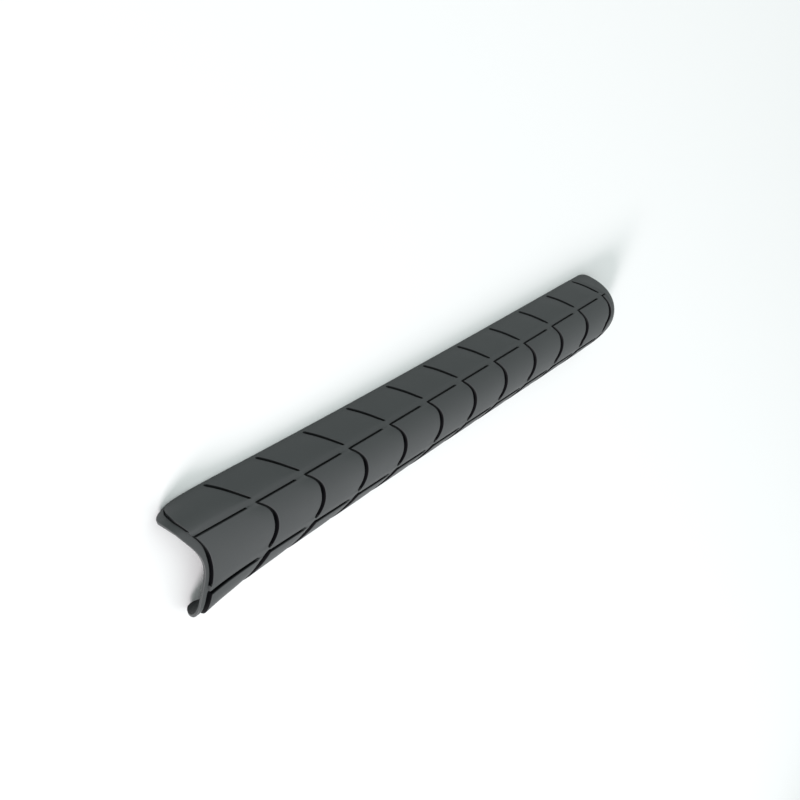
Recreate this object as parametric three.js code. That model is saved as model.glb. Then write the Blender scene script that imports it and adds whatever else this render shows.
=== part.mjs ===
import * as THREE from "three";

// A rubber guard that wraps the underside of a bicycle's down tube: one moulded sheet whose outer
// face is cut by narrow grooves into three columns of overlapping scales. Millimetres, +Z up.
// It rests as an arch on its two long edges, at z = 0, with the wide end at -X.
// along: the distance down the tube, from the second groove towards the narrow end.
// round: the distance round the outer face from the crown, positive towards +Y.

// The pattern of scales
const rowPitch = 30;
const rowCount = 11;
const firstRowLength = 35.7;
const columnEdge = 16; // the grooves that run along the sheet lie this far from the crown
const peakPlace = 4; // each middle scale's front edge bulges most here
const upperReach = 10.9; // how far round from there its bulge lasts, towards +Y
const lowerReach = 15.5; // and towards -Y
const lowerPower = 2.5;
const reachLoss = 5.9; // of the lower reach, by the last row
const firstBulge = 3.1; // the first and the last edge are flatter
const nextBulge = 6.1;
const bulgeLoss = 0.2; // from one row to the next
const lastBulge = 3.6;
const lastLoss = 0.5; // the last row is this much shorter
// Beside the bulge an edge falls straight back, in millimetres per millimetre round: over the
// bridge between the columns, in the upper wing, towards the lower corner, in the lower wing
const sideFall = { bridge: 0.72, upper: 0.95, corner: 0.32, lower: 0.92 };
const firstFall = { bridge: 0.56, upper: 0.55, corner: 0.32, lower: 0.92 };
const fallLoss = 0.018; // of the upper fall, from one row to the next

// The grooves
const grooveWidth = 1.05; // in the upper wing and at a row's upper corner
const middleGrooveWidth = 2.05; // over the rest of the middle column, in the first groove
const widthGain = 0.07; // there, from one groove to the next
const lowerGrooveWidth = 3.4; // and in the lower wing
const firstShare = 0.7; // the first groove is this share as wide
const widenFrom = 12;
const widenTo = 2;
const grooveDepth = 2;
const grooveWall = 0.3; // a wall leans this far
const mostSlant = 1.4;
const lengthGrooveWidth = { upper: 1.05, lower: 2.1 };
const bridge = 6.1; // a groove along the sheet stops this far short of the next one across
const middleGap = 3.3; // and one across stops this far from a lower one along it
const wingGap = 3.2; // or from an upper one
const edgeGap = 2; // or from a long edge
const dipDepth = 0.7; // a scale sinks towards the next one's edge
const dipReach = 9;
const lipHeight = 0.45; // and the next one's edge stands up
const lipReach = 6;
const bridgeFade = 3; // both fade this far from where the scales run into each other

// The sheet
const sheetHalf = 38.4; // half its width round the outer face
const panelThickness = 3;
const rimThickness = 1.5;
const edgeThickness = 2.5;
const edgeChamfer = 0.5;
const shoulder = 1.6; // the width over which the long edges are rounded off
const rimRise = 6; // the width over which a rim rises to a long edge
const tongueStep = 0.3; // the plain tongue starts this far under the scales
const trimWidth = 9; // the width over which the faces are drawn in to end on the ground
const nearLength = 5.9; // from the first groove to the mean place of the wide end's wavy outline
const nearWave = 5.8;
const nearWaveHalf = 32;
const nearRim = 4.5; // the least distance from it to the first groove, in the wings
const tongueLength = 10.6; // from the last groove to the narrow end
const farBow = 0.0075;
const endCorner = 6.5;

// The outer face's section: a crown arc that turns into a corner arc on each side. Both change from
// their values at the wide end towards those of a round tube.
const crownHalf = 19.2;
const crownRadius = { near: 227, far: 29.3 };
const cornerRadius = { near: 8.9, far: 38.3 };
const blendStart = -45;
const blendLength = 66.5;
const flare = 0.16; // the mouth at the wide end is this much wider again
const flareLength = 16.2;

// The number of steps in the plain stretches
const sideSteps = 6;
const middleSteps = 9;
const sideStep = 2; // from a groove along the sheet to the next place
const endStep = 0.8; // from a groove's blunt end to the next place
const innerRows = 26;
const innerColumns = 16;

const nearEnd = -firstRowLength - nearLength;
const farEnd = (rowCount - 1) * rowPitch + tongueLength;
const outline = nearEnd - nearWave;
const middle = (farEnd + outline) / 2;

// The angle and the place of the outer face's section, at a distance round it
function sectionAt(along, round) {
  const near = Math.exp((blendStart - along) / blendLength);
  const far = 1 / crownRadius.far;
  const crown = 1 / (far + (1 / crownRadius.near - far) * near);
  const corner = cornerRadius.far + (cornerRadius.near - cornerRadius.far) * near;
  const reach = Math.abs(round);
  if (reach < crownHalf) {
    const angle = reach / crown;
    return { angle, out: crown * Math.sin(angle), drop: crown * (1 - Math.cos(angle)) };
  }
  const turn = crownHalf / crown;
  const angle = turn + (reach - crownHalf) / corner;
  return {
    angle,
    out: crown * Math.sin(turn) + corner * (Math.sin(angle) - Math.sin(turn)),
    drop: crown * (1 - Math.cos(turn)) + corner * (Math.cos(turn) - Math.cos(angle)),
  };
}

// A point at some depth under the scales' tops. The faces are drawn in near the long edges, where
// their depth is edgeDepth, so that they all end on the ground.
function pointAt(along, round, depth, edgeDepth) {
  const edge = sectionAt(along, sheetHalf);
  const share = Math.max(0, Math.abs(round) - sheetHalf + trimWidth) / trimWidth;
  const drawnIn = (edgeDepth / Math.tan(edge.angle)) * share ** 2;
  const { angle, out, drop } = sectionAt(along, Math.abs(round) - drawnIn);
  const widening = 1 + flare * Math.exp((blendStart - along) / flareLength);
  const onEdge = share > 0.999;
  return new THREE.Vector3(
    along - middle,
    Math.sign(round) * widening * (out - depth * Math.sin(angle)),
    onEdge ? 0 : Math.max(0, edge.drop - drop - depth * Math.cos(angle)),
  );
}

// How much a rounded corner pulls an end back
function cornerPull(round) {
  const past = Math.abs(round) - (sheetHalf - endCorner);
  return past > 0 ? endCorner - Math.sqrt(Math.max(0, endCorner ** 2 - past ** 2)) : 0;
}

// The outlines of the two ends
function nearLine(round) {
  const phase = Math.min(Math.abs(round) / nearWaveHalf, 1);
  return nearEnd + nearWave * Math.cos(Math.PI * phase) + cornerPull(round);
}
function farLine(round) {
  return farEnd - farBow * round ** 2 - cornerPull(round);
}

// How far a scale's front edge runs ahead of its corner: a bulge, with a straight fall on each side
function edgeCurve(round, height, reach, fall) {
  const up = round - peakPlace;
  if (up > upperReach) {
    const past = up - upperReach;
    const overBridge = Math.min(past, columnEdge + wingGap - peakPlace - upperReach);
    return -fall.bridge * overBridge - fall.upper * (past - overBridge);
  }
  if (up > 0) return height * (1 - (up / upperReach) ** 2);
  if (-up < reach) return height * (1 - (-up / reach) ** lowerPower);
  const toCorner = Math.min(-up - reach, columnEdge + peakPlace - reach);
  const beyond = Math.max(0, -round - columnEdge);
  return -fall.corner * toCorner - fall.lower * beyond;
}

// The centre line of a groove across the sheet; the first one keeps clear of the rim in the wings
function grooveLine(k, round) {
  if (k === 0) {
    const line = edgeCurve(round, firstBulge, lowerReach, firstFall) - firstRowLength;
    return Math.abs(round) > columnEdge ? Math.max(line, nearLine(round) + nearRim) : line;
  }
  const height = k === rowCount ? lastBulge : nextBulge - bulgeLoss * (k - 1);
  const reach = lowerReach - reachLoss * ((k - 1) / (rowCount - 1)) ** 4;
  const fall = { ...sideFall, upper: sideFall.upper - fallLoss * (k - 1) };
  const corner = (k - 1) * rowPitch - (k === rowCount ? lastLoss : 0);
  return corner + edgeCurve(round, height, reach, fall);
}

// A groove that runs slantwise is longer along the sheet than its true width
function slant(k, round) {
  const step = 0.5;
  const rise = grooveLine(k, round + step) - grooveLine(k, round - step);
  return Math.min(Math.hypot(1, rise / (2 * step)), mostSlant);
}

// Half the width of groove k: it widens towards -Y, in two smooth steps
function halfWidth(k, round) {
  const step = (from, to) => {
    const share = Math.min(1, Math.max(0, (round - from) / (to - from)));
    return share * share * (3 - 2 * share);
  };
  const wide = middleGrooveWidth + widthGain * k;
  const middle = step(widenFrom, widenTo) * (wide - grooveWidth);
  const lower = step(middleGap - columnEdge, -columnEdge) * (lowerGrooveWidth - wide);
  return ((grooveWidth + middle + lower) * (k === 0 ? firstShare : 1)) / 2;
}

// Evenly spaced places from one up to, but not including, another
function spread(from, to, steps) {
  return Array.from({ length: steps }, (_, i) => from + ((to - from) * i) / steps);
}

// The places round the sheet where its outer face is sampled, with the grooves' walls among them
const walls = (place, width) => [
  place + width / 2,
  place + width / 2 - grooveWall,
  place - width / 2 + grooveWall,
  place - width / 2,
];
const upperWall = walls(columnEdge, lengthGrooveWidth.upper);
const lowerWall = walls(-columnEdge, lengthGrooveWidth.lower);
const wingGroove = { from: columnEdge + wingGap, to: sheetHalf - edgeGap };
const middleGroove = { from: -columnEdge + middleGap, to: upperWall[1] };
const shoulderPlaces = [0, 0.2, 0.7, 1.4].map((inset) => sheetHalf - inset);
const upperSide = [
  ...shoulderPlaces,
  ...spread(wingGroove.to, wingGroove.from, sideSteps + 1),
  wingGroove.from,
  wingGroove.from - endStep,
];
const lowerSide = [
  ...spread(lowerWall[3] - sideStep, -wingGroove.to, sideSteps + 1),
  -wingGroove.to,
  ...shoulderPlaces.map((place) => -place).reverse(),
];
const columns = [
  ...upperSide,
  ...upperWall,
  ...spread(upperWall[3] - sideStep, middleGroove.from, middleSteps),
  middleGroove.from,
  middleGroove.from - endStep,
  ...lowerWall,
  ...lowerSide,
];

// Where a groove across the sheet is open, and where one along it is
const near = (a, b) => Math.abs(a - b) < 1e-6;
const within = (place, from, to) => place > from - 1e-6 && place < to + 1e-6;
function crossOpen(round) {
  return (
    within(round, wingGroove.from, wingGroove.to) ||
    within(round, middleGroove.from, middleGroove.to) ||
    within(round, -wingGroove.to, lowerWall[1])
  );
}
function lengthOpen(round) {
  return [...upperWall.slice(1, 3), ...lowerWall.slice(1, 3)].some((place) => near(place, round));
}

// How far the outer face lies under the scales' tops where the long edges are rounded off
function shoulderDepth(round) {
  const past = Math.abs(round) - (sheetHalf - shoulder);
  if (past <= 0) return 0;
  return (panelThickness - edgeThickness) * (1 - Math.sqrt(1 - (past / shoulder) ** 2 * 0.99));
}

// How deep a rim lies: the least near a long edge, to which it rises
function rimDepth(round, most) {
  const least = panelThickness - edgeThickness;
  const share = Math.min(1, Math.max(0, (sheetHalf - 1 - Math.abs(round)) / rimRise));
  return least + (most - least) * share * share * (3 - 2 * share);
}

// The bridges between the columns, where the scales run into each other with no step, and the
// strips along the long edges, where they do so too
const bridges = [
  [wingGroove.to + endStep, sheetHalf],
  [-sheetHalf, -wingGroove.to - endStep],
  [upperWall[3], wingGroove.from - endStep],
  [lowerWall[0], middleGroove.from - endStep],
];
const fromBridge = (round) =>
  Math.min(...bridges.map(([from, to]) => Math.max(from - round, round - to, 0)));

// The scales' own relief, at a distance before (negative) or after a groove's centre line
function relief(k, offset, round) {
  if (k === rowCount && offset > 0) return rimDepth(round, tongueStep);
  const fade = Math.min(1, fromBridge(round) / bridgeFade);
  if (offset < 0) return dipDepth * fade * Math.max(0, 1 + offset / dipReach) ** 2;
  const raised = fade > 0 || near(round, upperWall[1]) || near(round, upperWall[3]);
  return raised ? -lipHeight * Math.max(0, 1 - offset / lipReach) ** 2 : 0;
}

// The place halfway from groove k to the one before it (-1) or after it (1)
function halfway(k, side, round) {
  return (grooveLine(k, round) + grooveLine(k + side, round)) / 2;
}

// One line of the grid across the sheet, at a distance from groove k's centre line, or from the
// near wall's foot or the far one's where a side of -1 or 1 is given. Where a row is short, in the
// first wings, its lines stand closer together.
function scaleLine(k, distance, { side = 0, cross = false, length = false, straight = false } = {}) {
  return (round) => {
    const offset = distance + side * halfWidth(k, round);
    const room = Math.abs(halfway(k, Math.sign(offset), round) - grooveLine(k, round));
    const stretch = Math.min(straight ? 1 : slant(k, round), room / (dipReach + 1));
    const along = grooveLine(k, round) + offset * stretch;
    let depth = relief(k, offset, round);
    if ((cross && crossOpen(round)) || (length && lengthOpen(round))) depth = grooveDepth;
    return { along, depth: Math.max(depth, shoulderDepth(round)) };
  };
}

// The line in the middle of the longer first row
function middleLine(round) {
  const depth = lengthOpen(round) ? grooveDepth : shoulderDepth(round);
  return { along: halfway(1, -1, round), depth };
}

// The lines of one groove across the sheet, with the scale before it and the lip after it
function linesOfGroove(k) {
  return [
    ...(k === 1 ? [middleLine] : []),
    scaleLine(k, -dipReach, { length: true }),
    scaleLine(k, -bridge - grooveWall, { length: true, straight: true }),
    scaleLine(k, -bridge + grooveWall, { straight: true }),
    scaleLine(k, -dipReach / 3),
    scaleLine(k, 0, { side: -1 }),
    scaleLine(k, grooveWall, { side: -1, cross: true }),
    scaleLine(k, -grooveWall, { side: 1, cross: true, length: true }),
    scaleLine(k, 0, { side: 1, length: true }),
    scaleLine(k, lipReach / 3, { length: true }),
    ...(k < rowCount ? [scaleLine(k, lipReach, { length: true })] : []),
  ];
}

// The thin rim at the wide end, up to the far wall of the first groove
function linesOfNearRim() {
  const deep = (round, extra) =>
    Math.max(rimDepth(round, panelThickness - rimThickness) + extra, shoulderDepth(round));
  const at = (side, wall, extra) => (round) => ({
    along: grooveLine(0, round) + side * (halfWidth(0, round) - wall),
    depth: deep(round, crossOpen(round) ? extra : 0),
  });
  return [
    (round) => ({ along: nearLine(round), depth: deep(round, edgeChamfer) }),
    (round) => ({ along: nearLine(round) + edgeChamfer, depth: deep(round, 0) }),
    at(-1, 0, 0),
    at(-1, grooveWall, edgeChamfer),
    at(1, grooveWall, edgeChamfer),
    ...linesOfGroove(0).slice(7),
  ];
}

// The plain tongue at the narrow end
function linesOfFarRim() {
  const last = scaleLine(rowCount, lipReach / 3);
  const rim = (round) => rimDepth(round, panelThickness - rimThickness);
  const between = (share) => (round) => {
    const start = last(round);
    const end = farLine(round) - edgeChamfer;
    return {
      along: start.along + (end - start.along) * share,
      depth: Math.max(start.depth + (rim(round) - start.depth) * share, shoulderDepth(round)),
    };
  };
  return [
    between(0.5),
    between(1),
    (round) => ({ along: farLine(round), depth: rim(round) + edgeChamfer }),
  ];
}

const grooves = Array.from({ length: rowCount }, (_, i) => linesOfGroove(i + 1)).flat();
const outerLines = [...linesOfNearRim(), ...grooves, ...linesOfFarRim()];
const outer = outerLines.map((line) => {
  const edgeDepth = line(sheetHalf).depth;
  return columns.map((round) => {
    const { along, depth } = line(round);
    return pointAt(along, round, depth, edgeDepth);
  });
});

// The smooth inner face, sampled more coarsely; its long edges reach the ground too
const innerPlaces = [
  ...shoulderPlaces,
  ...spread(sheetHalf - shoulder, -sheetHalf + shoulder, innerColumns),
  -sheetHalf + shoulder,
  ...shoulderPlaces.map((place) => -place).reverse(),
];
const inner = Array.from({ length: innerRows + 1 }, (_, i) => {
  const share = (i / innerRows) ** 1.5; // closer together where the section changes fastest
  return innerPlaces.map((round) => {
    const along = nearLine(round) * (1 - share) + farLine(round) * share;
    return pointAt(along, round, panelThickness, panelThickness);
  });
});

const triangles = [];
const add = (a, b, c) => triangles.push(a, b, c);

// The two triangles of every cell of a grid
function addGrid(rows, flip) {
  for (let i = 1; i < rows.length; i++)
    for (let j = 1; j < rows[i].length; j++) {
      const [a, b] = [rows[i - 1][j - 1], rows[i][j - 1]];
      const [c, d] = [rows[i][j], rows[i - 1][j]];
      if (flip) {
        add(a, c, b);
        add(a, d, c);
      } else {
        add(a, b, c);
        add(a, c, d);
      }
    }
}

// A strip between a finely and a coarsely sampled edge, stepping along whichever lags behind
function addStrip(fine, coarse, key) {
  let [i, j] = [0, 0];
  while (i < fine.length - 1 || j < coarse.length - 1) {
    const fineNext = i < fine.length - 1 ? key(fine[i + 1]) : Infinity;
    const coarseNext = j < coarse.length - 1 ? key(coarse[j + 1]) : Infinity;
    if (fineNext <= coarseNext) add(fine[i], fine[++i], coarse[j]);
    else add(fine[i], coarse[j + 1], coarse[j++]);
  }
}

const columnOf = (rows, j) => rows.map((row) => row.at(j));
const last = (rows) => rows[rows.length - 1];
addGrid(outer, true);
addGrid(inner, false);
addStrip(columnOf(outer, 0), columnOf(inner, 0), (p) => p.x);
addStrip([...columnOf(inner, -1)], columnOf(outer, -1), (p) => p.x);
addStrip(inner[0], outer[0], (p) => -p.y);
addStrip(last(outer), last(inner), (p) => -p.y);

const geometry = new THREE.BufferGeometry().setFromPoints(triangles);
geometry.computeVertexNormals();

const rubber = new THREE.MeshStandardMaterial({ color: 0x3c3f40, roughness: 0.85 });
const guard = new THREE.Mesh(geometry, rubber);
guard.name = "tube_guard";

const group = new THREE.Group();
group.name = "bicycle_frame_protector";
group.add(guard);
export default group;
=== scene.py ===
# %% [markdown]
# # A rubber guard for the underside of a bicycle's down tube
#
# The guard is one moulded sheet, bent round the tube. Its outer face is cut by narrow grooves
# into three columns of overlapping scales. This script loads the measured model as a frame, lays
# a finely sampled skin of the same shape over it, gives it a matte rubber finish, and lights it
# on a pale floor.

import math

import bpy
import numpy as np
from mathutils import Matrix, Vector


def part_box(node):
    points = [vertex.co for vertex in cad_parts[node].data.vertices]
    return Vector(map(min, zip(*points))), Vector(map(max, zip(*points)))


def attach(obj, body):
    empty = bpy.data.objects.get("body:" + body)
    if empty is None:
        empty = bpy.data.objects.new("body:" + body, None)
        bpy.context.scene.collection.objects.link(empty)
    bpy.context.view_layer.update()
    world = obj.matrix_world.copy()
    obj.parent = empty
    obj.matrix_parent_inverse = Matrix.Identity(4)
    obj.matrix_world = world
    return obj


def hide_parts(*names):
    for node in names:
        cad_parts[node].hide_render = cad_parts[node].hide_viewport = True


MM_PER_M = 1000

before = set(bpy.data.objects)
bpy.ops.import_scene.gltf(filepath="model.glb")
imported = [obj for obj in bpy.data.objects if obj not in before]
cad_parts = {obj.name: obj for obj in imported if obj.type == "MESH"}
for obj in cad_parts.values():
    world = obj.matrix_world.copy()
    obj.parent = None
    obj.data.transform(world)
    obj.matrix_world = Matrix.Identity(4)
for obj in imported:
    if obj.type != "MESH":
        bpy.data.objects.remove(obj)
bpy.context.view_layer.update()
low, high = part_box("tube_guard")
print("frame box, mm:", [round(MM_PER_M * side, 1) for side in high - low])

# %% [markdown]
# ## Driving sizes
#
# All lengths of the guard are in millimetres, and become metres when the mesh is made.
# `along` is the distance down the tube from the second groove, and `round` is the distance round
# the outer face from the crown, positive towards +Y.

# %% Sizes of the pattern and of the sheet
# the rows, the columns and the curve of the grooves across
ROW_PITCH, ROWS, FIRST_ROW = 30.0, 11, 35.7
COLUMN_EDGE = 16.0
PEAK, UPPER_REACH, LOWER_REACH, LOWER_POWER = 4.0, 10.9, 15.5, 2.5
REACH_LOSS, REACH_POWER = 5.9, 4
FIRST_BULGE, NEXT_BULGE, BULGE_LOSS, LAST_BULGE, LAST_LOSS = 3.1, 6.1, 0.2, 3.6, 0.5
BRIDGE_FALL, FIRST_BRIDGE_FALL = 0.72, 0.56
SIDE_FALL, FIRST_FALL, FALL_LOSS = (0.95, 0.32, 0.92), (0.55, 0.32, 0.92), 0.018
HALF_STEP, MOST_SLANT = 0.5, 1.4

# the grooves' widths, walls, depths and gaps
GROOVE_WIDTH, MIDDLE_GROOVE_WIDTH, WIDTH_GAIN, LOWER_GROOVE_WIDTH = 1.05, 2.05, 0.07, 3.4
FIRST_SHARE = 0.7
WIDEN_FROM, WIDEN_TO = 12.0, 2.0
WALL_FOOT, WALL_TOP = 0.4, 0.54
UPPER_LENGTH_GROOVE, LOWER_LENGTH_GROOVE = 1.05, 2.1
GROOVE_DEPTH, RIM_GROOVE, STUB = 2.0, 0.5, 9.0
BRIDGE, MIDDLE_GAP, WING_GAP, EDGE_GAP = 6.1, 3.3, 3.2, 2.0

# the relief of the scales
DIP_DEPTH, DIP_REACH, LIP_HEIGHT, LIP_REACH = 0.7, 9.0, 0.45, 6.0
COLUMN_FADE, FADE_BEFORE, FADE_AFTER, LIP_FADE = 3.0, 1.5, 0.6, 1.3
STEP_DEPTH, STEP_REACH, CREASE_ANGLE = 0.35, 5.0, math.radians(39)

# the sheet, its rims and its ends
SHEET_HALF, THICKNESS, RIM_THICKNESS, EDGE_THICKNESS = 38.4, 3.0, 1.5, 2.5
EDGE_ROUND, SHOULDER, RIM_RISE, TONGUE_STEP, TRIM_WIDTH = 0.5, 1.6, 6.0, 0.3, 9.0
RIM_TOP, SHOULDER_SHARE, ON_GROUND = 1.0, 0.99, 0.999
NEAR_LENGTH, NEAR_WAVE, NEAR_WAVE_HALF, NEAR_RIM = 5.9, 5.8, 32.0, 4.5
TONGUE_LENGTH, FAR_BOW, END_CORNER = 10.6, 0.0075, 6.5

# the section: each pair of radii is for BLEND_START and for far past it
CROWN_HALF = 19.2
CROWN_RADIUS, CORNER_RADIUS = (227.0, 29.3), (8.9, 38.3)
BLEND_START, BLEND_LENGTH, FLARE, FLARE_LENGTH = -45.0, 66.5, 0.16, 16.2

NEAR_END = -FIRST_ROW - NEAR_LENGTH
FAR_END = (ROWS - 1) * ROW_PITCH + TONGUE_LENGTH
MIDDLE = (FAR_END + NEAR_END - NEAR_WAVE) / 2


# %% [markdown]
# ## The section, and the outlines of the ends
#
# The outer face's section is a crown arc that turns into a corner arc on each side. Both radii
# change from their values at the wide end towards those of a round tube.


# %% The section
def smooth(x, start, end):
    """A step from 0 at start to 1 at end, t * t * (3 - 2 t) between them."""
    t = np.clip((x - start) / (end - start), 0, 1)
    return t * t * (3 - 2 * t)


def section(along, round_):
    """The outer face's angle, its distance out, and its drop from the crown. The crown's
    curvature 1 / R and the corner's radius change with exp(-distance / BLEND_LENGTH)."""
    near = np.exp((BLEND_START - along) / BLEND_LENGTH)
    crown = 1 / (1 / CROWN_RADIUS[1] + (1 / CROWN_RADIUS[0] - 1 / CROWN_RADIUS[1]) * near)
    corner = CORNER_RADIUS[1] + (CORNER_RADIUS[0] - CORNER_RADIUS[1]) * near
    inside = np.minimum(np.abs(round_), CROWN_HALF) / crown
    angle = inside + np.maximum(np.abs(round_) - CROWN_HALF, 0) / corner
    out = crown * np.sin(inside) + corner * (np.sin(angle) - np.sin(inside))
    drop = crown * (1 - np.cos(inside)) + corner * (np.cos(inside) - np.cos(angle))
    return angle, out, drop


def place(along, round_, depth, edge_depth):
    """The point at some depth under the face. Near the long edges it is drawn in by
    edge_depth / tan(edge angle), so that every face ends on the ground."""
    edge_angle, _, edge_drop = section(along, SHEET_HALF)
    share = np.clip((np.abs(round_) - SHEET_HALF + TRIM_WIDTH) / TRIM_WIDTH, 0, 1)
    drawn_in = edge_depth / np.tan(edge_angle) * share**2
    angle, out, drop = section(along, np.abs(round_) - drawn_in)
    widening = 1 + FLARE * np.exp((BLEND_START - along) / FLARE_LENGTH)
    y = np.sign(round_) * widening * (out - depth * np.sin(angle))
    z = np.where(share > ON_GROUND, 0, np.maximum(0, edge_drop - drop - depth * np.cos(angle)))
    return np.stack(np.broadcast_arrays(along - MIDDLE, y, z), -1)


def corner_pull(round_):
    """How much a rounded corner pulls an end back: R - sqrt(R^2 - past^2)."""
    past = np.maximum(np.abs(round_) - (SHEET_HALF - END_CORNER), 0)
    return END_CORNER - np.sqrt(np.maximum(0, END_CORNER**2 - past**2))


def near_line(round_):
    """The wide end's outline: a cosine wave, drawn in the most at the crown, and the
    corners' pull."""
    phase = np.minimum(np.abs(round_) / NEAR_WAVE_HALF, 1)
    return NEAR_END + NEAR_WAVE * np.cos(np.pi * phase) + corner_pull(round_)


def far_line(round_):
    """The narrow end's outline: a bow, FAR_BOW times round^2, and the corners' pull."""
    return FAR_END - FAR_BOW * round_**2 - corner_pull(round_)


# %% [markdown]
# ## The grooves across the sheet
#
# Each row ends in a groove. In the middle column it bulges towards the narrow end, and in the
# wings it falls straight back.


# %% Groove lines
def edge_curve(round_, height, reach, bridge_fall, fall):
    """How far a row's edge runs ahead of its corner: a bulge of the given height,
    h (1 - (distance / reach)^power), with a straight fall on each side."""
    up = round_ - PEAK
    upper, corner, lower = fall
    over_bridge = COLUMN_EDGE + WING_GAP - PEAK - UPPER_REACH
    bulge_up = height * (1 - (np.maximum(up, 0) / UPPER_REACH) ** 2)
    bulge_down = height * (1 - (np.maximum(-up, 0) / reach) ** LOWER_POWER)
    to_corner = np.clip(-up - reach, 0, COLUMN_EDGE + PEAK - reach)
    fall_down = -corner * to_corner - lower * np.maximum(0, -round_ - COLUMN_EDGE)
    curve = np.where(up > 0, bulge_up, bulge_down)
    past = np.maximum(up - UPPER_REACH, 0)
    on_bridge, on_wing = np.minimum(past, over_bridge), np.maximum(0, past - over_bridge)
    fall_up = -bridge_fall * on_bridge - upper * on_wing
    curve = np.where(past > 0, fall_up, curve)
    return np.where(-up > reach, fall_down, curve)


def groove_line(k, round_):
    """The centre line of groove k; the first keeps clear of the rim in the wings."""
    if k == 0:
        curve = edge_curve(round_, FIRST_BULGE, LOWER_REACH, FIRST_BRIDGE_FALL, FIRST_FALL)
        line = curve - FIRST_ROW
        beside_rim = np.maximum(line, near_line(round_) + NEAR_RIM)
        return np.where(np.abs(round_) > COLUMN_EDGE, beside_rim, line)
    height = LAST_BULGE if k == ROWS else NEXT_BULGE - BULGE_LOSS * (k - 1)
    reach = LOWER_REACH - REACH_LOSS * ((k - 1) / (ROWS - 1)) ** REACH_POWER
    fall = (SIDE_FALL[0] - FALL_LOSS * (k - 1), *SIDE_FALL[1:])
    corner = (k - 1) * ROW_PITCH - (LAST_LOSS if k == ROWS else 0)
    return corner + edge_curve(round_, height, reach, BRIDGE_FALL, fall)


def slant(k, round_):
    """How much longer a slantwise groove is along the sheet, hypot(1, slope), capped."""
    rise = groove_line(k, round_ + HALF_STEP) - groove_line(k, round_ - HALF_STEP)
    return np.minimum(np.hypot(1, rise), MOST_SLANT)


# %% [markdown]
# ## The relief
#
# Depth is measured under the scales' tops. A scale dips towards the next groove, and the edge
# beyond the groove stands up as a lip. Grooves end in round blunt ends, and between the columns
# the scales run into each other over smooth bridges.


# %% Depth functions
WING_START = COLUMN_EDGE + WING_GAP
MIDDLE_END = -COLUMN_EDGE + MIDDLE_GAP
GROOVE_END = SHEET_HALF - EDGE_GAP
OPEN_ACROSS = (
    (WING_START + GROOVE_WIDTH / 2, GROOVE_END - GROOVE_WIDTH / 2),
    (MIDDLE_END + MIDDLE_GROOVE_WIDTH / 2, COLUMN_EDGE),
    (LOWER_GROOVE_WIDTH / 2 - GROOVE_END, -COLUMN_EDGE),
)


def groove_width(k, round_):
    """The grooves across widen towards -Y in two smooth steps, from GROOVE_WIDTH to the
    middle column's width, WIDTH_GAIN more at each row, and on to LOWER_GROOVE_WIDTH."""
    wide = MIDDLE_GROOVE_WIDTH + WIDTH_GAIN * k
    middle = smooth(-round_, -WIDEN_FROM, -WIDEN_TO) * (wide - GROOVE_WIDTH)
    lower = smooth(-round_, -MIDDLE_END, COLUMN_EDGE) * (LOWER_GROOVE_WIDTH - wide)
    return (GROOVE_WIDTH + middle + lower) * (FIRST_SHARE if k == 0 else 1)


def channel(distance, width):
    """1 on a groove's floor and 0 outside it, with leaning, rounded walls."""
    return 1 - smooth(distance, WALL_FOOT * width, WALL_TOP * width)


def beyond(value, start, end):
    """How far a value lies outside the interval from start to end."""
    return np.maximum(np.maximum(start - value, value - end), 0)


def across_channel(k, offset, round_):
    """The grooves across: round-ended slots about offset = 0 over each open stretch."""
    gap = np.min([beyond(round_, start, end) for start, end in OPEN_ACROSS], axis=0)
    return channel(np.hypot(offset, gap), groove_width(k, round_))


def along_channel(after, before, round_):
    """The grooves along: slots at the column edges, from one groove across to a bridge
    before the next. after is the distance past the last one, before the one to the next."""
    side = np.abs(round_) - COLUMN_EDGE
    width = np.where(round_ > 0, UPPER_LENGTH_GROOVE, LOWER_LENGTH_GROOVE)
    own = beyond(after, 0, after + before - BRIDGE - width / 2)
    gap = np.minimum(own, before)
    return channel(np.hypot(side, gap), width)


def column_fade(round_):
    """0 over the bridges between the columns and at the long edges, 1 inside a column."""
    upper = beyond(round_, COLUMN_EDGE, WING_START)
    lower = beyond(round_, -COLUMN_EDGE, MIDDLE_END)
    inside = 1 - smooth(np.abs(round_), GROOVE_END - FADE_BEFORE, GROOVE_END + FADE_AFTER)
    return smooth(np.minimum(upper, lower), 0, COLUMN_FADE) * inside


COLUMN_EDGES = (COLUMN_EDGE, -COLUMN_EDGE)


def column_step(k, along, round_, edge):
    """A column's lower side lies lower than the next column's edge across the groove along
    the sheet. Past that groove's end the next column comes down to it over a fan,
    1 - angle / crease angle, about the groove's end."""
    past_end = along - (groove_line(k + 1, edge) - BRIDGE)
    into = edge - round_
    above = 1 - smooth(-into, 0, STEP_REACH)
    fan = np.clip(1 - np.arctan2(into, past_end) / CREASE_ANGLE, 0, 1)
    return STEP_DEPTH * np.where(into < 0, above, fan)


def lip_fade(round_):
    """1 over the grooves' open stretches, falling to 0 past their blunt ends."""
    gap = np.min([beyond(round_, start, end) for start, end in OPEN_ACROSS], axis=0)
    return 1 - smooth(gap, 0, LIP_FADE)


def rim_depth(round_, most):
    """A rim's depth, the least near a long edge, to which it rises."""
    least = THICKNESS - EDGE_THICKNESS
    share = np.clip((SHEET_HALF - RIM_TOP - np.abs(round_)) / RIM_RISE, 0, 1)
    return least + (most - least) * share**2 * (3 - 2 * share)


def shoulder_depth(round_):
    """The rounding of the long edges, a quarter of an ellipse."""
    past = np.clip((np.abs(round_) - (SHEET_HALF - SHOULDER)) / SHOULDER, 0, 1)
    return (THICKNESS - EDGE_THICKNESS) * (1 - np.sqrt(1 - SHOULDER_SHARE * past**2))


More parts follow.
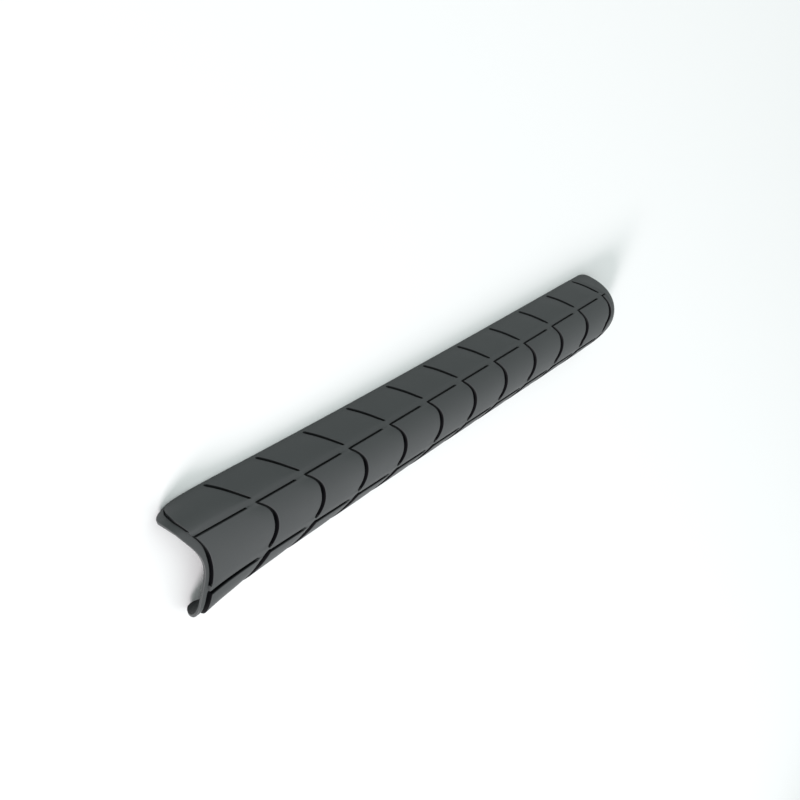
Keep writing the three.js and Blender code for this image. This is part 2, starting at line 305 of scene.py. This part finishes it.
# %% [markdown]
# ## The grid
#
# The lines across the sheet follow the grooves, close together beside them, and turn from one
# groove's shape into the next one's in the middle of a row. The columns are close together at the
# grooves along the sheet and at the blunt ends.

# %% Grid of lines and columns
# distances of the lines from a groove across, past it and before it
BESIDE = np.array([0, 0.25, 0.4, 0.5, 0.6, 0.7, 0.8, 0.92, 1.1, 1.4, 1.9, 2.6, 3.6, 5, 7, 9.5])
ALONG_END = BRIDGE + np.array([-0.6, -0.3, -0.1, 0.1, 0.3, 0.7, 1.2])
CLOSE_TO_RIM = np.array([1.4, 1.1, 0.92, 0.8, 0.7, 0.6, 0.5, 0.4, 0.25])
BEFORE = np.unique(np.concatenate([BESIDE, ALONG_END]))
# the lines that move off with a wide groove's wall, and the first that doesn't
WALL_LINE, LAST_WALL_LINE, FREE_LINE = 0.8, 0.92, 7.0
# numbers of lines in the middle of a row and past the last groove
MIDDLE_LINES, TONGUE_LINES = 7, 13
# columns before the denser ones, the groove width that their distances are for, the shift of
# those at the outer blunt ends, and the least step that is kept
PLACES, WALL_UNIT, END_SHIFT, LEAST_STEP = 76, 1.2, 0.3, 0.045


def dense_columns():
    """Places round the sheet from +Y to -Y, denser where a groove's wall or end is."""
    wall = np.array([0, 0.12, 0.22, 0.32, 0.42, 0.52, 0.62, 0.75, 1.0, 1.4, 2.0])
    end = np.array([0, 0.2, 0.4, 0.6, 0.8, 1.0, 1.3])
    edge = np.array([0, 0.05, 0.15, 0.3, 0.5, 0.8, 1.2, 1.6, 2.0])
    places = [np.linspace(-GROOVE_END, GROOVE_END, PLACES)]
    for side, width in ((-1, LOWER_LENGTH_GROOVE), (1, UPPER_LENGTH_GROOVE)):
        beside = wall * width / WALL_UNIT
        places += [side * COLUMN_EDGE + beside, side * COLUMN_EDGE - beside]
        places += [side * (SHEET_HALF - edge), side * GROOVE_END - side * end + side * END_SHIFT]
    places += [WING_START + end, MIDDLE_END + end]
    places = np.sort(np.concatenate(places))
    keep = np.concatenate([[True], np.diff(places) > LEAST_STEP])
    return places[keep][::-1]


def spaced(k, distance, columns):
    """A line's distance from a groove. Lines beside a wide groove stand further off, in
    proportion up to LAST_WALL_LINE and less and less from there to FREE_LINE."""
    wider = groove_width(k, columns) / (2 * WALL_LINE) - 1
    marks, moves = [0, LAST_WALL_LINE, FREE_LINE], [0, LAST_WALL_LINE, 0]
    return distance + wider * np.interp(distance, marks, moves)


def row_lines(k, columns):
    """The lines from groove k to groove k + 1. They stand at G_k + s c and G_k+1 - t c, where
    s and t are the distances from the two grooves and c the slant, at most so much that the
    two kinds never meet, and change evenly from one to the other over the middle of the row."""
    pitch = FIRST_ROW if k == 0 else ROW_PITCH
    middle = np.linspace(BESIDE[-1], pitch - BESIDE[-1], MIDDLE_LINES)
    after = np.unique(np.concatenate([BESIDE, pitch - BEFORE, middle]))
    share = np.clip((after[:-1, None] - DIP_REACH) / (pitch - 2 * DIP_REACH), 0, 1)
    before = spaced(k + 1, pitch - after[:-1, None], columns)
    after = spaced(k, after[:-1, None], columns)
    first, last = groove_line(k, columns), groove_line(k + 1, columns)
    most = (last - first) / 2 / (DIP_REACH + 1)
    slant_first = np.minimum(slant(k, columns), most)
    slant_last = np.minimum(slant(k + 1, columns), most)
    start = first + np.minimum(after, DIP_REACH) * slant_first
    end = last - np.minimum(before, DIP_REACH) * slant_last
    along = (1 - share) * start + share * end
    return along, *row_relief(k, along, after, before, columns)


def row_relief(k, along, after, before, columns):
    """The depth, and the grooves' share in it, between groove k and groove k + 1."""
    lip = -LIP_HEIGHT * np.clip(1 - after / LIP_REACH, 0, 1) ** 2 * lip_fade(columns)
    dip = DIP_DEPTH * np.clip(1 - before / DIP_REACH, 0, 1) ** 2 * column_fade(columns)
    base = lip + dip + sum(column_step(k, along, columns, edge) for edge in COLUMN_EDGES)
    cut = np.maximum(across_channel(k, after, columns), across_channel(k + 1, before, columns))
    behind, ahead = along - groove_line(k, columns), groove_line(k + 1, columns) - along
    cut = np.maximum(cut, along_channel(behind, ahead, columns))
    return base + (GROOVE_DEPTH - base) * cut, cut


columns = dense_columns()
rows = [row_lines(k, columns) for k in range(ROWS)]
print("columns:", len(columns), "lines in a row:", len(rows[1][0]))


# %% The two ends
# the angles of the rounded edges, and the plain lines' places as shares of their stretch
TURN = np.linspace(0, math.pi / 2, 6)[:, None]
PLAIN_SHARES = np.linspace(0.12, 0.9, 7)[:, None]
TONGUE_SHARES = np.linspace(0.1, 1, 10)[:, None]
TONGUE_RISE = 0.8


def near_rim_lines(columns):
    """From the wide end's rounded edge to the centre of the first groove."""
    rim = rim_depth(columns, THICKNESS - RIM_THICKNESS)
    edge_along = near_line(columns) + EDGE_ROUND * (1 - np.cos(TURN))
    edge_depth = rim + EDGE_ROUND * (1 - np.sin(TURN))
    first, start = groove_line(0, columns), near_line(columns) + EDGE_ROUND
    close = spaced(0, CLOSE_TO_RIM[:, None], columns)
    plain_along = start + (first - close[0] - start) * PLAIN_SHARES
    cut = across_channel(0, close, columns)
    return (
        np.concatenate([edge_along, plain_along, first - close]),
        np.concatenate([edge_depth, rim + 0 * plain_along, rim + RIM_GROOVE * cut]),
        np.concatenate([0 * edge_depth, 0 * plain_along, cut + 0 * first]),
    )


def far_rim_lines(columns):
    """From the last groove, over the plain tongue, to the narrow end's rounded edge."""
    after = spaced(ROWS, BESIDE[:TONGUE_LINES, None], columns)
    rim = rim_depth(columns, THICKNESS - RIM_THICKNESS)
    tongue = rim_depth(columns, TONGUE_STEP)
    along = groove_line(ROWS, columns) + after * slant(ROWS, columns)
    cut = np.maximum(
        across_channel(ROWS, after, columns), along_channel(after, STUB - after, columns)
    )
    base = tongue * smooth(after, 0, TONGUE_RISE)
    start, end = along[-1], far_line(columns) - EDGE_ROUND
    share, turn = TONGUE_SHARES, TURN[1:]
    return (
        np.concatenate([along, start + (end - start) * share, end + EDGE_ROUND * np.sin(turn)]),
        np.concatenate(
            [
                base + (GROOVE_DEPTH - base) * cut,
                tongue + (rim - tongue) * share,
                rim + EDGE_ROUND * (1 - np.cos(turn)),
            ]
        ),
        np.concatenate([cut, 0 * share * rim, 0 * turn * rim]),
    )


ends = near_rim_lines(columns), far_rim_lines(columns)
along, depth, cut = (
    np.concatenate([ends[0][i], *[row[i] for row in rows], ends[1][i]]) for i in range(3)
)
depth = np.maximum(depth, shoulder_depth(columns))
outer = place(along, columns[None, :], depth, depth[:, :1])
least_step = float(np.diff(along, axis=0).min())
print("outer grid:", outer.shape[:2], "least step, mm:", round(least_step, 3))


# %% [markdown]
# ## The mesh
#
# The inner face is smooth and is sampled on fewer lines. Strips of triangles join its border to
# the outer face's border.


# %% Faces of grids and strips
def grid_faces(first, lines, places, flip):
    """The quads of a grid of vertices numbered from first, line by line."""
    index = first + np.arange(lines * places).reshape(lines, places)
    a, b, c, d = index[:-1, :-1], index[1:, :-1], index[1:, 1:], index[:-1, 1:]
    quads = np.stack([a, b, c, d], -1).reshape(-1, 4)
    return quads[:, ::-1] if flip else quads


def strip_faces(fine, coarse, flip):
    """The triangles between a finely and a coarsely sampled border: each fine step reaches
    the coarse vertex nearest in share, and each coarse step closes its gap."""
    share = np.arange(len(fine)) / (len(fine) - 1)
    partner = np.rint(share * (len(coarse) - 1)).astype(int)
    steps = np.stack([fine[:-1], fine[1:], coarse[partner[:-1]]], -1)
    moved = np.flatnonzero(np.diff(partner))
    gaps = np.stack([fine[moved + 1], coarse[partner[moved + 1]], coarse[partner[moved]]], -1)
    faces = np.concatenate([steps, gaps])
    return faces[:, ::-1] if flip else faces


# %% Build the guard
# the inner grid, the angle of a sharp edge, and the painted shade in the grooves: how far up
# their walls it reaches and how much lighter it is in the narrow grooves
INNER_LINES, INNER_PLACES = 100, 70
SHARP_ANGLE = math.radians(50)
WALL_SHARE, WING_LIT = 0.2, 0.3


def border_subset(count, wanted):
    """wanted indices spread over count, the first and last included."""
    return np.unique(np.rint(np.linspace(0, count - 1, wanted)).astype(int))


inner_lines = border_subset(len(outer), INNER_LINES)
inner_places = border_subset(len(columns), INNER_PLACES)
inner_along = along[np.ix_(inner_lines, inner_places)]
inner = place(inner_along, columns[None, inner_places], THICKNESS, THICKNESS)

vertices = np.concatenate([outer.reshape(-1, 3), inner.reshape(-1, 3)]) / MM_PER_M
inner_first = outer.shape[0] * outer.shape[1]
outer_index = np.arange(inner_first).reshape(outer.shape[:2])
inner_index = inner_first + np.arange(inner.shape[0] * inner.shape[1]).reshape(inner.shape[:2])
quads = np.concatenate(
    [
        grid_faces(0, *outer.shape[:2], False),
        grid_faces(inner_first, *inner.shape[:2], True),
    ]
)
strips = np.concatenate(
    [
        strip_faces(outer_index[:, 0], inner_index[:, 0], True),
        strip_faces(outer_index[:, -1], inner_index[:, -1], False),
        strip_faces(outer_index[0], inner_index[0], False),
        strip_faces(outer_index[-1], inner_index[-1], True),
    ]
)


def make_mesh(name, vertices, quads, triangles):
    """A mesh with quads and triangles, shaded smooth except at sharp edges."""
    mesh = bpy.data.meshes.new(name)
    corners = np.concatenate([quads.ravel(), triangles.ravel()])
    starts = np.concatenate(
        [4 * np.arange(len(quads)), 4 * len(quads) + 3 * np.arange(len(triangles))]
    )
    mesh.vertices.add(len(vertices))
    mesh.vertices.foreach_set("co", vertices.ravel())
    mesh.loops.add(len(corners))
    mesh.loops.foreach_set("vertex_index", corners)
    mesh.polygons.add(len(starts))
    mesh.polygons.foreach_set("loop_start", starts)
    mesh.update(calc_edges=True)
    mesh.validate()
    mesh.polygons.foreach_set("use_smooth", np.ones(len(mesh.polygons), bool))
    mesh.set_sharp_from_angle(angle=SHARP_ANGLE)
    return mesh


def set_attribute(mesh, name, values):
    """One number for each vertex, for the material to read."""
    layer = mesh.attributes.new(name, "FLOAT", "POINT")
    layer.data.foreach_set("value", values.astype(np.float32).ravel())


skin = make_mesh("rubber_guard", vertices, quads, strips)
# painted shade: the grooves' floors and most of their walls are marked to be coloured darker and
# duller, where the shade inside them falls, a little less in the narrow grooves
narrow = smooth(columns, WIDEN_TO, WIDEN_FROM)
painted_shade_share = smooth(cut, 0, WALL_SHARE) * (1 - WING_LIT * narrow)
set_attribute(skin, "painted_groove_shade", np.concatenate([painted_shade_share.ravel(), np.zeros(inner_index.size)]))
guard = bpy.data.objects.new("rubber_guard", skin)
bpy.context.scene.collection.objects.link(guard)
print("triangles:", 2 * len(quads) + len(strips))


# %% [markdown]
# ## The rubber
#
# Matte black rubber has a fine moulded grain, and its gloss varies a little over the face. In the
# grooves a painted shade makes it darker and duller.


# %% Rubber material
RUBBER = (0.049, 0.052, 0.0535, 1)
# painted shade: the grooves' dark colour and their weaker shine
PAINTED_SHADE_COLOUR = (0.003, 0.003, 0.004, 1)
SHINE, PAINTED_SHADE_SHINE = 0.5, 0.05
GRAIN_SCALE, GRAIN_DETAIL, GRAIN_STRENGTH, GRAIN_HEIGHT = 2200, 3, 0.25, 0.0001
CLOUD_SCALE, SMOOTHEST, ROUGHEST = 60, 0.5, 0.62
# the sockets of a Mix node for colours, which share their names with those for numbers
MIX_FACTOR, MIX_A, MIX_B, MIX_RESULT = 0, 6, 7, 2


def rubber():
    """Matte rubber with a fine grain as bump and a varying roughness, darker and duller in the
    grooves by a painted shade, read from the attribute that marks them."""
    material = bpy.data.materials.new("rubber")
    material.use_nodes = True
    tree = material.node_tree
    shader = tree.nodes["Principled BSDF"]
    coords = tree.nodes.new("ShaderNodeTexCoord")
    # painted shade: the share of the grooves' painted shade at each vertex
    painted_groove_shade = tree.nodes.new("ShaderNodeAttribute")
    painted_groove_shade.attribute_name = "painted_groove_shade"
    shade = tree.nodes.new("ShaderNodeMix")
    shade.data_type = "RGBA"
    shade.inputs[MIX_A].default_value = RUBBER
    shade.inputs[MIX_B].default_value = PAINTED_SHADE_COLOUR
    tree.links.new(painted_groove_shade.outputs["Fac"], shade.inputs[MIX_FACTOR])
    tree.links.new(shade.outputs[MIX_RESULT], shader.inputs["Base Color"])
    shine = tree.nodes.new("ShaderNodeMapRange")
    shine.inputs["To Min"].default_value = SHINE
    shine.inputs["To Max"].default_value = PAINTED_SHADE_SHINE
    tree.links.new(painted_groove_shade.outputs["Fac"], shine.inputs["Value"])
    tree.links.new(shine.outputs["Result"], shader.inputs["Specular IOR Level"])
    grain = tree.nodes.new("ShaderNodeTexNoise")
    grain.inputs["Scale"].default_value = GRAIN_SCALE
    grain.inputs["Detail"].default_value = GRAIN_DETAIL
    tree.links.new(coords.outputs["Object"], grain.inputs["Vector"])
    bump = tree.nodes.new("ShaderNodeBump")
    bump.inputs["Strength"].default_value = GRAIN_STRENGTH
    bump.inputs["Distance"].default_value = GRAIN_HEIGHT
    tree.links.new(grain.outputs["Fac"], bump.inputs["Height"])
    tree.links.new(bump.outputs["Normal"], shader.inputs["Normal"])
    cloud = tree.nodes.new("ShaderNodeTexNoise")
    cloud.inputs["Scale"].default_value = CLOUD_SCALE
    tree.links.new(coords.outputs["Object"], cloud.inputs["Vector"])
    rough = tree.nodes.new("ShaderNodeMapRange")
    rough.inputs["To Min"].default_value = SMOOTHEST
    rough.inputs["To Max"].default_value = ROUGHEST
    tree.links.new(cloud.outputs["Fac"], rough.inputs["Value"])
    tree.links.new(rough.outputs["Result"], shader.inputs["Roughness"])
    return material


guard.data.materials.append(rubber())
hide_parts("tube_guard")
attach(guard, "root")

# %% [markdown]
# ## The camera
#
# It stands where the photograph was taken from, found from the grooves and the outline.

# %% Camera
CAMERA_PLACE = Vector((-279.2, 238.9, 300.85)) / MM_PER_M
CAMERA_AIM = Vector((-32.35, 25.7, 15.0)) / MM_PER_M
CAMERA_ROLL = math.radians(111.99)
LENS, SENSOR = 35.0, 36.0


def make_camera():
    """A camera at CAMERA_PLACE that looks at CAMERA_AIM, turned about its own axis."""
    data = bpy.data.cameras.new("camera")
    data.lens, data.sensor_width = LENS, SENSOR
    camera = bpy.data.objects.new("camera", data)
    bpy.context.scene.collection.objects.link(camera)
    look = (CAMERA_AIM - CAMERA_PLACE).to_track_quat("-Z", "Y").to_matrix().to_4x4()
    roll = Matrix.Rotation(CAMERA_ROLL, 4, "Z")
    camera.matrix_world = Matrix.Translation(CAMERA_PLACE) @ look @ roll
    bpy.context.scene.camera = camera


make_camera()

# %% [markdown]
# ## Floor and light
#
# The floor is plain and pale. A soft light stands low beyond the wide end, on the -Y side, and a
# weak one fills in from the narrow end. The surroundings are even and nearly white.

# %% Floor, world and lights
FLOOR_HALF, FLOOR_GREY, FLOOR_ROUGHNESS = 4.0, 0.9, 0.9


def make_floor():
    """A pale, dull, square floor on the ground."""
    mesh = bpy.data.meshes.new("floor")
    half = FLOOR_HALF
    corners = [(-half, -half, 0), (half, -half, 0), (half, half, 0), (-half, half, 0)]
    mesh.from_pydata(corners, [], [(0, 1, 2, 3)])
    floor = bpy.data.objects.new("floor", mesh)
    bpy.context.scene.collection.objects.link(floor)
    material = bpy.data.materials.new("floor")
    material.use_nodes = True
    shader = material.node_tree.nodes["Principled BSDF"]
    shader.inputs["Base Color"].default_value = (FLOOR_GREY, FLOOR_GREY, FLOOR_GREY, 1)
    shader.inputs["Roughness"].default_value = FLOOR_ROUGHNESS
    mesh.materials.append(material)
    return floor


def make_world(colour, strength):
    """An even, nearly white surrounding."""
    world = bpy.data.worlds.new("world")
    world.use_nodes = True
    background = world.node_tree.nodes["Background"]
    background.inputs["Color"].default_value = (*colour, 1)
    background.inputs["Strength"].default_value = strength
    bpy.context.scene.world = world


def make_light(name, position, size, power, colour):
    """A square soft light, turned to the guard."""
    data = bpy.data.lights.new(name, "AREA")
    data.size, data.energy, data.color = size, power, colour
    light = bpy.data.objects.new(name, data)
    turn = (-position).to_track_quat("-Z", "Y").to_matrix().to_4x4()
    light.matrix_world = Matrix.Translation(position) @ turn
    bpy.context.scene.collection.objects.link(light)


make_floor()
make_world(colour=(0.92, 1.0, 0.985), strength=0.78)
make_light("key", Vector((-1.7, -1.2, 0.8)), size=0.7, power=52, colour=(1.0, 0.93, 0.96))
make_light("fill", Vector((0.9, -1.5, 1.3)), size=1.2, power=5, colour=(0.98, 0.95, 1.0))
bpy.context.scene.view_settings.view_transform = "Standard"
